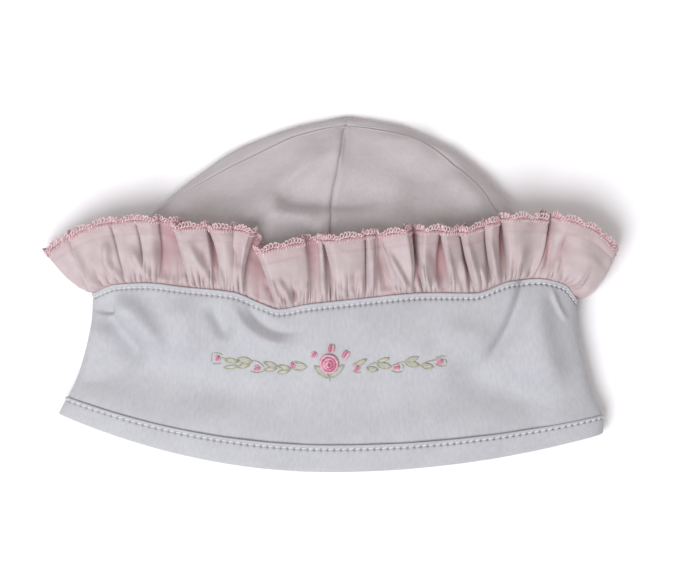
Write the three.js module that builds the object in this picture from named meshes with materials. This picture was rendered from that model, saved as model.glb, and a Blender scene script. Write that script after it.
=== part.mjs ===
// A baby's hat of white cotton jersey, lying flat on its back: a crown of four sewn gores, a deep
// turned-up cuff with a folded hem, a gathered pink ruffle with a lace edge standing out of the
// cuff's top edge, and a bullion-stitch rose with buds in the middle of the cuff.
// Millimetres. The hat lies on the plane z = 0, the tip of its crown towards +Y and its mouth
// towards -Y, and the face that shows looks up along +Z.
import * as THREE from "three";

// Driving dimensions
const CUFF_WALL = 1.5;
const CROWN_INSET = 2.0; // from the hat's outer shape in to the crown's outer face
const CROWN_WALL = 1.2;
const CROWN_LAP = 0.028; // how much lower up the hat the crown's inner face ends at the tip
const GAP = 0.3; // between pieces that are sewn together
const RUFFLE_GAP = 0.5;
const RUFFLE_WALL = 1.0;
const RUFFLE_HEIGHT = 20.5;
const LACE_WALL = 0.8;
const LACE_HEIGHT = 2.4;
const RUFFLE_SPREAD = 0.75; // under 1 bows the ruffle's spread ends outwards
const RUFFLE_RISE = 10; // degrees that the front of the ruffle stands up off the crown
const FLAT_FROM = 0.45; // sine of the angle round the hat past which its back lies flat
const SIDE_ROUNDNESS = 0.75; // under 1 makes the side folds fuller

// Places up the hat: 0 is the edge of its mouth, 1 the cuff's top edge, 2 the crown's tip.
const HEM_SEAM = 0.13;
const HEM_PLAY = 0.005; // half of the gap along the hem's seam
const CUFF_TOP = 1;
const TIP = 2;

// The hat's outline from above, a row for each level up it. left_x, left_y, right_x and right_y are
// where its side folds lie, and middle_y is where the level crosses the middle of the front.
const OUTLINE = [
  { at: 0.0, left_x: -89.6, left_y: -39.9, right_x: 90.4, right_y: -46.5, middle_y: -58.7 },
  { at: 0.13, left_x: -86.6, left_y: -35.0, right_x: 90.2, right_y: -41.0, middle_y: -51.3 },
  { at: 0.35, left_x: -83.2, left_y: -27.0, right_x: 86.8, right_y: -33.5, middle_y: -39.5 },
  { at: 0.57, left_x: -80.8, left_y: -17.8, right_x: 83.6, right_y: -22.5, middle_y: -27.0 },
  { at: 0.8, left_x: -78.9, left_y: -8.0, right_x: 80.8, right_y: -9.5, middle_y: -13.0 },
  { at: 1.0, left_x: -78.4, left_y: 0.0, right_x: 80.6, right_y: -1.0, middle_y: 0.0 },
  { at: 1.14, left_x: -74.6, left_y: 8.5, right_x: 76.4, right_y: 8.5, middle_y: 8.0 },
  { at: 1.29, left_x: -69.2, left_y: 17.5, right_x: 70.4, right_y: 17.5, middle_y: 17.0 },
  { at: 1.43, left_x: -62.6, left_y: 25.5, right_x: 64.6, right_y: 25.5, middle_y: 25.0 },
  { at: 1.58, left_x: -52.9, left_y: 34.0, right_x: 58.0, right_y: 34.0, middle_y: 33.2 },
  { at: 1.7, left_x: -43.5, left_y: 41.0, right_x: 51.3, right_y: 41.0, middle_y: 39.8 },
  { at: 1.81, left_x: -34.5, left_y: 47.0, right_x: 43.7, right_y: 47.0, middle_y: 45.6 },
  { at: 1.9, left_x: -23.1, left_y: 52.0, right_x: 34.1, right_y: 52.0, middle_y: 50.9 },
  { at: 1.955, left_x: -12.6, left_y: 55.5, right_x: 25.9, right_y: 55.5, middle_y: 54.8 },
  { at: 1.985, left_x: -3.6, left_y: 57.4, right_x: 16.4, right_y: 57.4, middle_y: 57.1 },
  { at: 2.0, left_x: 2.0, left_y: 58.7, right_x: 9.2, right_y: 58.7, middle_y: 58.7 },
];

// Its thickness at the same levels: top_z is the height at the middle of the front, side_z that of
// the side folds, and floor_z the underside, which the crown lies inside. left_seam and right_seam
// are the angles, up from each side fold, of the crown's side seams.
const DEPTH = [
  { at: 0.0, top_z: 16.0, side_z: 5.0, floor_z: 0.0, left_seam: 12, right_seam: 12 },
  { at: 0.13, top_z: 17.4, side_z: 5.2, floor_z: 0.0, left_seam: 12, right_seam: 12 },
  { at: 0.35, top_z: 19.0, side_z: 5.5, floor_z: 0.0, left_seam: 13, right_seam: 14 },
  { at: 0.57, top_z: 20.0, side_z: 5.8, floor_z: 0.0, left_seam: 14, right_seam: 15 },
  { at: 0.8, top_z: 20.2, side_z: 6.0, floor_z: 0.0, left_seam: 15, right_seam: 17 },
  { at: 1.0, top_z: 19.6, side_z: 6.0, floor_z: 0.0, left_seam: 17, right_seam: 19 },
  { at: 1.14, top_z: 19.0, side_z: 6.6, floor_z: 1.7, left_seam: 19, right_seam: 22 },
  { at: 1.29, top_z: 17.8, side_z: 6.6, floor_z: 2.3, left_seam: 19, right_seam: 26 },
  { at: 1.43, top_z: 16.0, side_z: 6.0, floor_z: 1.9, left_seam: 20, right_seam: 29 },
  { at: 1.58, top_z: 13.6, side_z: 3.8, floor_z: -1.5, left_seam: 27, right_seam: 31 },
  { at: 1.7, top_z: 11.6, side_z: 2.8, floor_z: -2.0, left_seam: 38, right_seam: 33 },
  { at: 1.81, top_z: 9.6, side_z: 2.4, floor_z: -2.0, left_seam: 46, right_seam: 36 },
  { at: 1.9, top_z: 7.8, side_z: 2.0, floor_z: -2.0, left_seam: 50, right_seam: 41 },
  { at: 1.955, top_z: 6.5, side_z: 1.8, floor_z: -2.0, left_seam: 53, right_seam: 46 },
  { at: 1.985, top_z: 5.6, side_z: 1.6, floor_z: -2.0, left_seam: 55, right_seam: 50 },
  { at: 2.0, top_z: 5.0, side_z: 1.5, floor_z: -2.0, left_seam: 55, right_seam: 52 },
];
const FRONT_SEAM = 91.5; // degrees round the hat from its right side fold
const BACK_SEAM = 270;

// How the front of the cuff's top edge rises and dips, from its left end (-1) to its right (1).
const TOP_EDGE = [
  { at: -1.0, rise: 0.0 },
  { at: -0.9, rise: 2.9 },
  { at: -0.78, rise: 3.4 },
  { at: -0.62, rise: 2.1 },
  { at: -0.42, rise: 0.4 },
  { at: -0.3, rise: -3.4 },
  { at: -0.23, rise: -5.2 },
  { at: -0.12, rise: -3.8 },
  { at: 0.1, rise: -1.8 },
  { at: 0.4, rise: 0.5 },
  { at: 0.57, rise: 0.7 },
  { at: 0.73, rise: 5.2 },
  { at: 0.84, rise: 6.4 },
  { at: 0.94, rise: 5.0 },
  { at: 1.0, rise: 0.0 },
];

// Where the jersey stands up in soft swells: centre, half length, half width, turn and height.
const CUFF_SWELLS = [
  { x: -74.5, y: -3.5, long: 5, wide: 3, turn: -20, rise: 1.6 },
  { x: -66, y: -12, long: 11, wide: 3.4, turn: -60, rise: 2.1 },
  { x: -47, y: -13, long: 13, wide: 7, turn: -80, rise: 1.6 },
  { x: -31, y: -12, long: 10, wide: 3.2, turn: -62, rise: 1.6 },
  { x: -16.5, y: -10, long: 9, wide: 3.2, turn: -20, rise: 1.8 },
  { x: 12, y: -20, long: 22, wide: 14, turn: 0, rise: 0.8 },
  { x: 45, y: -13, long: 13, wide: 8, turn: 10, rise: 1.0 },
  { x: 71.5, y: -16, long: 18, wide: 6.5, turn: -72, rise: 2.3 },
];
const CROWN_SWELLS = [
  { x: -20, y: 38, long: 18, wide: 6, turn: 38, rise: 0.9 },
  { x: 20, y: 44, long: 12, wide: 7, turn: -35, rise: 0.7 },
  { x: 36, y: 33, long: 14, wide: 6, turn: -50, rise: 0.6 },
];

// The ruffle's front folds, left to right. base_x and edge_x are where the valley at the fold's left
// lies along the cuff and along the free edge, depth is how far the fold's crest stands up, and
// lean how far the crest hangs over to the right.
const FRONT_FOLDS = [
  { base_x: -78.4, edge_x: -93.3, depth: 1.2, lean: 0 },
  { base_x: -74.4, edge_x: -87.0, depth: 1.8, lean: 0.5 },
  { base_x: -68.0, edge_x: -74.0, depth: 2.8, lean: 1.5 },
  { base_x: -56.1, edge_x: -56.4, depth: 1.7, lean: 0 },
  { base_x: -47.5, edge_x: -48.4, depth: 3.4, lean: -2.2 },
  { base_x: -39.8, edge_x: -40.2, depth: 3.0, lean: -0.8 },
  { base_x: -32.6, edge_x: -32.0, depth: 3.6, lean: 1.4 },
  { base_x: -21.5, edge_x: -22.2, depth: 6.2, lean: -2.6 },
  { base_x: -4.2, edge_x: -4.6, depth: 5.6, lean: -1.6 },
  { base_x: 12.9, edge_x: 13.0, depth: 4.8, lean: 1.8 },
  { base_x: 27.7, edge_x: 28.2, depth: 3.8, lean: -0.8 },
  { base_x: 38.4, edge_x: 37.4, depth: 3.2, lean: -1.4 },
  { base_x: 46.2, edge_x: 44.8, depth: 3.5, lean: -2.0 },
  { base_x: 53.2, edge_x: 52.2, depth: 2.0, lean: -0.4 },
  { base_x: 58.6, edge_x: 58.0, depth: 4.2, lean: 1.6 },
  { base_x: 68.3, edge_x: 74.2, depth: 3.0, lean: 1.0 },
  { base_x: 80.6, edge_x: 93.6, depth: 0, lean: 0 },
];
const BACK_FOLDS = 13;
const BACK_FOLD_DEPTH = 2.0;
const VALLEY_SHARE = 0.25; // of a front fold's depth that its valleys sink below the seam's level

// Faces round each piece
const FRONT_COLUMNS = 48;
const BACK_COLUMNS = 16;
const FRONT_GORE_COLUMNS = 9;
const BACK_GORE_COLUMNS = 8;
const FOLD_COLUMNS = 8;
const BACK_FOLD_COLUMNS = 5;
const TURN_COLUMNS = 4;

const radians = THREE.MathUtils.degToRad;
const lerp = THREE.MathUtils.lerp;
const step = THREE.MathUtils.smoothstep;

// A column of a table read between its rows, along a smooth curve that never passes beyond them.
function read(table, column, at) {
  const last = table.length - 1;
  let row = 0;
  while (row < last - 1 && at > table[row + 1].at) row += 1;
  const rate = (i) => (table[i + 1][column] - table[i][column]) / (table[i + 1].at - table[i].at);
  const slope = (i) => {
    if (i === 0) return rate(0);
    if (i === last) return rate(last - 1);
    const [before, after] = [rate(i - 1), rate(i)];
    return before * after > 0 ? 2 * before * after / (before + after) : 0;
  };
  const [a, b] = [table[row], table[row + 1]];
  const width = b.at - a.at;
  const t = Math.min(Math.max((at - a.at) / width, 0), 1);
  const [t2, t3] = [t * t, t * t * t];
  return (2 * t3 - 3 * t2 + 1) * a[column] + (t3 - 2 * t2 + t) * width * slope(row)
    + (3 * t2 - 2 * t3) * b[column] + (t3 - t2) * width * slope(row + 1);
}

// A point of the hat's shape: level up the hat, angle round it from the right side fold by way of
// the front, and inset in from the outer shape.
function hatPoint(angle, level, inset) {
  const across = Math.cos(angle);
  const up = Math.sin(angle);
  const [left, right] = [read(OUTLINE, "left_x", level), read(OUTLINE, "right_x", level)];
  const middle = (left + right) / 2;
  const half = (right - left) / 2 - inset;
  const side = read(DEPTH, "side_z", level);
  const sideY = read(OUTLINE, across > 0 ? "right_y" : "left_y", level);
  const fade = level < CUFF_TOP ? step(level, 0.4, 1) : 1 - step(level, 1, 1.3);
  const wave = up > 0 ? read(TOP_EDGE, "rise", across) * fade : 0;
  const y = lerp(read(OUTLINE, "middle_y", level), sideY, across * across) + wave;
  const top = read(DEPTH, "top_z", level) - inset;
  const floor = read(DEPTH, "floor_z", level) + inset;
  const z = up >= 0
    ? side + (top - side) * up ** SIDE_ROUNDNESS
    : side - (side - floor) * Math.sin(Math.min(1, -up / FLAT_FROM) * Math.PI / 2);
  return new THREE.Vector3(middle + half * across, y, z);
}

// The hat's outward direction at a point of its shape.
function hatNormal(angle, level) {
  const small = 0.004;
  const round = hatPoint(angle + small, level, 0).sub(hatPoint(angle - small, level, 0));
  const up = hatPoint(angle, level + small, 0).sub(hatPoint(angle, level - small, 0));
  return up.cross(round).normalize();
}

// How far the cloth swells out at a point of the front.
function swell(table, point) {
  let height = 0;
  for (const { x, y, long, wide, turn, rise } of table) {
    const [c, s] = [Math.cos(radians(turn)), Math.sin(radians(turn))];
    const along = ((point.x - x) * c + (point.y - y) * s) / long;
    const aside = ((point.y - y) * c - (point.x - x) * s) / wide;
    height += rise * Math.exp(-along * along - aside * aside);
  }
  return height;
}

function swollen(table, angle, level, inset, most = 1) {
  const point = hatPoint(angle, level, inset);
  if (Math.sin(angle) <= 0) return point;
  const share = most * step(Math.sin(angle), 0, 0.35);
  return point.addScaledVector(hatNormal(angle, level), swell(table, point) * share);
}

// The angles of the columns round a plain ring.
function ringAngles(front, back) {
  const angles = [];
  for (let i = 0; i < front; i += 1) angles.push(Math.PI * i / front);
  for (let i = 0; i < back; i += 1) angles.push(Math.PI * (1 + i / back));
  return angles;
}

// A closed mesh from a list of points and four-cornered faces, turned to face out.
function solid(points, quads) {
  const position = new Float32Array(points.flatMap((p) => [p.x, p.y, p.z]));
  const triangles = quads.flatMap(([a, b, c, d]) => [[a, b, c], [a, c, d]]);
  let volume = 0;
  for (const [a, b, c] of triangles) {
    volume += points[a].dot(points[b].clone().cross(points[c]));
  }
  const faces = volume < 0 ? triangles.map(([a, b, c]) => [a, c, b]) : triangles;
  const geometry = new THREE.BufferGeometry();
  geometry.setAttribute("position", new THREE.BufferAttribute(position, 3));
  geometry.setIndex(faces.flat());
  geometry.computeVertexNormals();
  return geometry;
}

// A ring of cloth: each column is a closed loop of points, and each joins the next, all the way round.
function ring(columns) {
  const [many, around] = [columns.length, columns[0].length];
  const quads = [];
  for (let i = 0; i < many; i += 1) {
    const next = (i + 1) % many;
    for (let j = 0; j < around; j += 1) {
      const after = (j + 1) % around;
      quads.push([i * around + j, next * around + j, next * around + after, i * around + after]);
    }
  }
  return solid(columns.flat(), quads);
}

// A panel of cloth between two grids of points that have the same rows and columns.
function panel(outer, inner) {
  const [rows, columns] = [outer.length, outer[0].length];
  const index = (side, i, j) => side * rows * columns + i * columns + j;
  const quads = [];
  for (let i = 0; i < rows - 1; i += 1) {
    for (let j = 0; j < columns - 1; j += 1) {
      quads.push([index(0, i, j), index(0, i, j + 1), index(0, i + 1, j + 1), index(0, i + 1, j)]);
      quads.push([index(1, i, j), index(1, i + 1, j), index(1, i + 1, j + 1), index(1, i, j + 1)]);
    }
  }
  const rim = [];
  for (let j = 0; j < columns - 1; j += 1) rim.push([0, j]);
  for (let i = 0; i < rows - 1; i += 1) rim.push([i, columns - 1]);
  for (let j = columns - 1; j > 0; j -= 1) rim.push([rows - 1, j]);
  for (let i = rows - 1; i > 0; i -= 1) rim.push([i, 0]);
  rim.forEach(([i, j], k) => {
    const [m, n] = rim[(k + 1) % rim.length];
    const corners = [index(0, m, n), index(0, i, j), index(1, i, j), index(1, m, n)];
    if (m + n < i + j) corners.push(corners.shift());
    quads.push(corners);
  });
  return solid([...outer.flat(), ...inner.flat()], quads);
}

// The hem: a folded band as thick as the cuff and the crown that stand on it.
function hemBand() {
  const thick = CROWN_INSET + CROWN_WALL;
  const seam = HEM_SEAM - HEM_PLAY;
  const loop = [
    [0.0, 0.9], [0.012, 0.25], [0.035, 0], [0.08, 0], [seam, 0.1],
    [seam, thick], [0.06, thick], [0.014, thick - 0.3], [0.0, thick - 0.9],
  ];
  return ring(ringAngles(FRONT_COLUMNS, BACK_COLUMNS).map(
    (angle) => loop.map(([level, inset]) => hatPoint(angle, level, inset)),
  ));
}

// The turned-up cuff. Its lower edge swells into a ridge over the hem's seam.
function cuff() {
  const bottom = HEM_SEAM + HEM_PLAY;
  const outer = [
    [bottom, -0.1], [0.148, -0.6], [0.185, 0], [0.33, 0], [0.46, 0], [0.59, 0], [0.71, 0],
    [0.82, 0], [0.91, 0], [0.96, -0.1], [CUFF_TOP, 0.25],
  ];
  const inner = [
    [CUFF_TOP, CUFF_WALL - 0.2], [0.91, CUFF_WALL], [0.76, CUFF_WALL], [0.59, CUFF_WALL],
    [0.4, CUFF_WALL], [bottom, CUFF_WALL],
  ];
  const onFloor = (angle, inset) => (Math.sin(angle) < 0 ? Math.max(inset, 0) : inset);
  const loop = [...outer, ...inner];
  return ring(ringAngles(FRONT_COLUMNS, BACK_COLUMNS).map((angle) => loop.map(
    ([level, inset]) => swollen(CUFF_SWELLS, angle, level, onFloor(angle, inset)),
  )));
}

// One gore of the crown, between two seams. seam is a function of the level, in degrees.
function gore(fromSeam, toSeam, columns) {
  const levels = [
    HEM_SEAM + HEM_PLAY, 0.35, 0.6, 0.82, 1.0, 1.12, 1.24, 1.36, 1.47, 1.58, 1.68, 1.77, 1.85, 1.91,
    1.955, 1.985, TIP,
  ];
  const grid = (inset, drop) => levels.map((level) => {
    const lower = level - drop * step(level, 1.55, 1.85);
    const small = 0.01;
    const edge = (seam, inwards) => {
      const angle = radians(seam(level));
      const pace = hatPoint(angle + small, lower, inset)
        .distanceTo(hatPoint(angle - small, lower, inset)) / (2 * small);
      return angle + inwards * Math.min(GAP / 2 / pace, 0.25);
    };
    const [from, to] = [edge(fromSeam, 1), edge(toSeam, -1)];
    const row = [];
    for (let j = 0; j <= columns; j += 1) {
      const most = step(level, 1.2, 1.5);
      row.push(swollen(CROWN_SWELLS, lerp(from, to, j / columns), lower, inset, most));
    }
    return row;
  });
  return panel(grid(CROWN_INSET, 0), grid(CROWN_INSET + CROWN_WALL, CROWN_LAP));
}

const rightSeam = (level) => read(DEPTH, "right_seam", level);
const leftSeam = (level) => 180 - read(DEPTH, "left_seam", level);
const frontSeam = () => FRONT_SEAM;
const backSeam = () => BACK_SEAM;
const backSeamBefore = () => BACK_SEAM - 360;

// The columns of the ruffle: where each starts on the cuff, where its free edge lies, and how far
// its fold stands out. bell is 0 in a valley and 1 on a crest.
function ruffleColumns() {
  const bell = (phase) => 0.5 - 0.5 * Math.cos(2 * Math.PI * phase);
  const { left_x: left, right_x: right } = OUTLINE.find((row) => row.at === CUFF_TOP);
  const [middle, half] = [(left + right) / 2, (right - left) / 2];
  const fan = (across) => {
    const end = across < 0 ? FRONT_FOLDS[0] : FRONT_FOLDS[FRONT_FOLDS.length - 1];
    return (end.edge_x - end.base_x) * across ** 4;
  };
  const columns = [];
  for (let k = FRONT_FOLDS.length - 2; k >= 0; k -= 1) {
    const [fold, next] = [FRONT_FOLDS[k], FRONT_FOLDS[k + 1]];
    for (let j = 0; j < FOLD_COLUMNS; j += 1) {
      const phase = 1 - j / FOLD_COLUMNS;
      const base = lerp(fold.base_x, next.base_x, phase);
      const edge = lerp(fold.edge_x, next.edge_x, phase) + fold.lean * bell(phase);
      const angle = Math.acos(Math.min(Math.max((base - middle) / half, -1), 1));
      const stand = fold.depth * (bell(phase) - VALLEY_SHARE * step(Math.sin(angle), 0, 0.5));
      columns.push({ angle, shift: edge - base, stand });
    }
  }
  const turn = Math.asin(FLAT_FROM);
  const plainTurn = (from) => {
    for (let j = 0; j < TURN_COLUMNS; j += 1) {
      const angle = from + turn * j / TURN_COLUMNS;
      columns.push({ angle, shift: fan(Math.cos(angle)), stand: 0 });
    }
  };
  plainTurn(Math.PI);
  const many = BACK_FOLDS * BACK_FOLD_COLUMNS;
  for (let j = 0; j < many; j += 1) {
    const angle = Math.PI + turn + (Math.PI - 2 * turn) * j / many;
    const stand = -BACK_FOLD_DEPTH * bell(j / BACK_FOLD_COLUMNS);
    columns.push({ angle, shift: fan(Math.cos(angle)), stand });
  }
  plainTurn(2 * Math.PI - turn);
  return columns;
}

// A point of the ruffle's middle: reach is how far it lies up the ruffle from the seam.
function rufflePoint({ angle, shift, stand }, reach) {
  const seam = swollen(CUFF_SWELLS, angle, CUFF_TOP, CUFF_WALL / 2);
  const slope = shift / RUFFLE_HEIGHT;
  const ahead = Math.sqrt(1 - slope * slope);
  const rise = radians(RUFFLE_RISE) * Math.max(Math.sin(angle), 0);
  const along = new THREE.Vector3(slope, ahead * Math.cos(rise), ahead * Math.sin(rise));
  const small = 0.01;
  const round = hatPoint(angle + small, CUFF_TOP, 1).sub(hatPoint(angle - small, CUFF_TOP, 1));
  round.y = 0;
  const out = along.clone().cross(round).normalize();
  const up = Math.max(reach / RUFFLE_HEIGHT, 0);
  const open = Math.sin(Math.min(up, 1) * Math.PI / 2) ** 0.9;
  const bow = shift * (up ** RUFFLE_SPREAD - up);
  const start = RUFFLE_GAP * (1 + Math.abs(slope));
  seam.addScaledVector(along, reach + start).addScaledVector(out, stand * open);
  return seam.setX(seam.x + bow);
}

// A ring along the ruffle's columns, between two reaches, with a wall of even thickness.
function ruffleRing(reaches, wall) {
  const columns = ruffleColumns();
  const many = columns.length;
  const small = 0.05;
  const middle = columns.map((column) => reaches.map((reach) => rufflePoint(column, reach)));
  return ring(columns.map((column, i) => {
    const normals = reaches.map((reach, j) => {
      const round = middle[(i + 1) % many][j].clone().sub(middle[(i + many - 1) % many][j]);
      const up = rufflePoint(column, reach + small).sub(rufflePoint(column, reach - small));
      return up.cross(round).normalize().multiplyScalar(wall / 2);
    });
    const front = middle[i].map((point, j) => point.clone().sub(normals[j]));
    const back = middle[i].map((point, j) => point.clone().add(normals[j]));
    return [...front, ...back.reverse()];
  }));
}

// The embroidered rose and buds stand on the cuff. A profile is radius and height, and each bud is
// a small dome: place on the front, length, width and turn.
const ROSE = { name: "rose", x: -0.4, y: -23, profile: [
  [0, 0], [3.3, 0], [4.0, 0.5], [4.0, 1.1], [3.4, 1.6], [2.9, 1.4], [2.5, 1.9], [1.9, 1.75],
  [1.4, 2.3], [0.8, 2.2], [0, 2.5],
] };
const BUD_PROFILE = [[0, 0], [0.75, 0], [1, 0.45], [0.75, 0.95], [0, 1.25]];
const BUDS = [
  { name: "bud_above_rose", x: 0.5, y: -17.2, long: 1.9, wide: 1.15, turn: 90 },
  { name: "bud_left_of_rose", x: -5.2, y: -19.8, long: 1.4, wide: 0.9, turn: 50 },
  { name: "bud_right_of_rose", x: 5.1, y: -19.7, long: 1.5, wide: 0.95, turn: 55 },
  { name: "vine_bud_1", x: -37.6, y: -20.8, long: 1.0, wide: 1.0, turn: 0 },
  { name: "vine_bud_2", x: -24.2, y: -24.5, long: 1.3, wide: 0.9, turn: 20 },
  { name: "vine_bud_3", x: -12.2, y: -23.4, long: 1.0, wide: 0.9, turn: 0 },
  { name: "vine_bud_4", x: 8.7, y: -24.2, long: 1.2, wide: 1.0, turn: 20 },
  { name: "vine_bud_5", x: 22.0, y: -23.9, long: 1.2, wide: 1.0, turn: 0 },
  { name: "vine_bud_6", x: 36.4, y: -22.0, long: 1.3, wide: 1.1, turn: 30 },
];

// The angle and level of the cuff's front at a place seen from above.
function cuffPlace(x, y) {
  let [angle, level] = [Math.PI / 2, 0.5];
  for (let tries = 0; tries < 30; tries += 1) {
    const point = swollen(CUFF_SWELLS, angle, level, 0);
    angle += (point.x - x) / 90;
    level += (y - point.y) / 60;
  }
  return { angle, level };
}

function onCuff(geometry, x, y) {
  const { angle, level } = cuffPlace(x, y);
  const normal = hatNormal(angle, level);
  const seat = swollen(CUFF_SWELLS, angle, level, 0).addScaledVector(normal, GAP + 0.1);
  const turn = new THREE.Quaternion().setFromUnitVectors(new THREE.Vector3(0, 0, 1), normal);
  return geometry.applyQuaternion(turn).translate(seat.x, seat.y, seat.z);
}

// A turned solid standing up along +Z.
function turned(profile, sides) {
  const points = profile.map(([radius, height]) => new THREE.Vector2(radius, height));
  return new THREE.LatheGeometry(points, sides).rotateX(Math.PI / 2);
}

// Cloth and thread
const jersey = new THREE.MeshStandardMaterial({ color: 0xe9e7ea, roughness: 0.85 });
const batiste = new THREE.MeshStandardMaterial({ color: 0xedc9cd, roughness: 0.75 });
const lace = new THREE.MeshStandardMaterial({ color: 0xe39aa4, roughness: 0.8 });
const rosePink = new THREE.MeshStandardMaterial({ color: 0xd9668b, roughness: 0.5 });

const hat = new THREE.Group();

function add(name, geometry, material) {
  const mesh = new THREE.Mesh(geometry, material);
  mesh.name = name;
  hat.add(mesh);
}

add("crown_front_left", gore(frontSeam, leftSeam, FRONT_GORE_COLUMNS), jersey);
add("crown_front_right", gore(rightSeam, frontSeam, FRONT_GORE_COLUMNS), jersey);
add("crown_back_left", gore(leftSeam, backSeam, BACK_GORE_COLUMNS), jersey);
add("crown_back_right", gore(backSeamBefore, rightSeam, BACK_GORE_COLUMNS), jersey);
add("cuff", cuff(), jersey);
add("hem_band", hemBand(), jersey);
add("ruffle", ruffleRing([0, 3, 9, RUFFLE_HEIGHT], RUFFLE_WALL), batiste);
add("ruffle_lace", ruffleRing(
  [RUFFLE_HEIGHT + GAP, RUFFLE_HEIGHT + GAP + LACE_HEIGHT], LACE_WALL), lace);
add(ROSE.name, onCuff(turned(ROSE.profile, 18), ROSE.x, ROSE.y), rosePink);
for (const { name, x, y, long, wide, turn } of BUDS) {
  const bud = turned(BUD_PROFILE, 8).scale(long, wide, 1).rotateZ(radians(turn));
  add(name, onCuff(bud, x, y), rosePink);
}

export default hat;
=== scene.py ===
import math

import bmesh
import bpy
import numpy as np
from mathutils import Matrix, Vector
from mathutils.bvhtree import BVHTree


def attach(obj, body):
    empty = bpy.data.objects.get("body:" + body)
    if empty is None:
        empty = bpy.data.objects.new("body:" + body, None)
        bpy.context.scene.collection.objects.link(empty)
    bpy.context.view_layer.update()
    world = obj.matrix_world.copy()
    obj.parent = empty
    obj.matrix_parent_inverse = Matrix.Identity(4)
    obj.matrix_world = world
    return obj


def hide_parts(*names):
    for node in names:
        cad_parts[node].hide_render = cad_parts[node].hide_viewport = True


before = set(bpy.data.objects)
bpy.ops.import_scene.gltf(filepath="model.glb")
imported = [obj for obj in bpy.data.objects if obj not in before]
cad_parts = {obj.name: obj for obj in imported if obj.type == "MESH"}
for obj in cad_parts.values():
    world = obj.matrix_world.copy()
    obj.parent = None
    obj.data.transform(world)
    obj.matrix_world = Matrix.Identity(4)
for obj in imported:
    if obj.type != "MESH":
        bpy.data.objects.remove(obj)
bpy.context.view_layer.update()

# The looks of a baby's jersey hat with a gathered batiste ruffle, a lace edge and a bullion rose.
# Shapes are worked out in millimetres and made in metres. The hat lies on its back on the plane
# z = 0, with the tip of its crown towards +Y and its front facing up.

MM = 0.001
PIXEL = 0.33  # millimetres of the hat to a pixel of the photograph
PICTURE = (700, 572)
ORIGIN_PIXEL = (330, 294)  # where the photograph shows the hat's origin

# Places up the hat are levels: 0 is its mouth, 1 the cuff's top edge and 2 the crown's tip.
CUFF_TOP = 1.0
POLE = 1.97  # where the four gores meet, just on the front of the tip
TIP = 2.0
CUFF_WALL = 1.5
CROWN_INSET = 2.0
CROWN_CLOTH = 1.0
UNDER_CUFF_ROOM = 0.6  # more room under the cuff, so that its creases stay clear of the crown
FLAT_FROM = 0.45  # the sine of the angle past which the back lies flat
SIDE_ROUNDNESS = 0.75
JERSEY_UNEVEN = 0.2  # millimetres, as the ruffle's below
RUFFLE_UNEVEN = 0.1

RUFFLE_HEIGHT = 20.5
RUFFLE_CLOTH = 0.4
RUFFLE_GAP = 0.3
RUFFLE_RISE = 7  # degrees
RUFFLE_SPREAD_LEFT = 0.6  # powers of the way up: the smaller, the nearer its seam it leans sideways
RUFFLE_SPREAD_RIGHT = 0.42
RUFFLE_HEM = 4.0
RUFFLE_PUFF = 1.4  # how far it swells out of the cuff's top
SEAM_GROOVE = 0.15
HEM_FOLD = 0.16  # how far its face is raised over its hem
HEM_CREASE = 0.14
LOWEST = 0.8  # how far the middle of the ruffle and its lace stay above the floor

CUFF_STITCH = 1.8
HEM_STITCH = 2.2
STITCH_THREAD = 0.34
STITCH_ARCH = 0.3  # how high a stitch stands between its holes
STITCH_SUNK = 0.12  # how deep its ends lie
STITCH_SHIFT = 0.006  # levels from the line of its holes up to a stitch
STITCH_SLANT = 0.004
WALE_SPACING = 0.75  # a little coarser than the cloth's, so that the wales show
WEAVE_SPACING = 0.45


def table(columns, rows):
    """A short table as one array for each named column."""
    return dict(zip(columns.split(), np.array(rows, float).T))


# The hat's outline and thickness, level by level. From the mouth to the cuff's top it is up to 1 mm
# wider at the sides than in the part's source, and its right corner there lies 1.2 mm lower.
OUTLINE = table("at left_x left_y right_x right_y middle_y top_z side_z floor_z", [
    (0, -90.3, -39.9, 90.6, -46.5, -58.7, 16, 5, 0),
    (0.13, -87.4, -35, 90.4, -41, -51.3, 17.4, 5.2, 0),
    (0.35, -83.6, -27, 87.4, -33.5, -39.5, 19, 5.5, 0),
    (0.57, -80.8, -17.8, 84.4, -22.5, -27, 20, 5.8, 0),
    (0.8, -78.9, -8, 81.8, -9.5, -13, 20.2, 6, 0),
    (1, -78.4, 0, 81.5, -2.2, 0, 19.6, 6, 0),
    (1.14, -74.6, 8.5, 76.4, 8.5, 8, 19, 6.6, 1.7),
    (1.29, -69.2, 17.5, 70.4, 17.5, 17, 17.8, 6.6, 2.3),
    (1.43, -62.6, 25.5, 64.6, 25.5, 25, 16, 6, 1.9),
    (1.58, -52.9, 34, 58, 34, 33.2, 13.6, 3.8, -1.5),
    (1.7, -43.5, 41, 51.3, 41, 39.8, 11.6, 2.8, -2),
    (1.81, -34.5, 47, 43.7, 47, 45.6, 9.6, 2.4, -2),
    (1.9, -23.1, 52, 34.1, 52, 50.9, 7.8, 2, -2),
    (1.955, -12.6, 55.5, 25.9, 55.5, 54.8, 6.5, 1.8, -2),
    (1.985, -3.6, 57.4, 16.4, 57.4, 57.1, 5.6, 1.6, -2),
    (2, 2, 58.7, 9.2, 58.7, 58.7, 5, 1.5, -2),
])
TOP_EDGE = table("at rise", [
    (-1, 0), (-0.9, 2.9), (-0.78, 3.4), (-0.62, 2.1), (-0.42, 0.4), (-0.3, -3.4), (-0.23, -5.2),
    (-0.12, -3.8), (0.1, -1.8), (0.4, 0.5), (0.57, 0.7), (0.73, 5.2), (0.84, 6.4), (0.94, 5),
    (1, 0),
])

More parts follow.
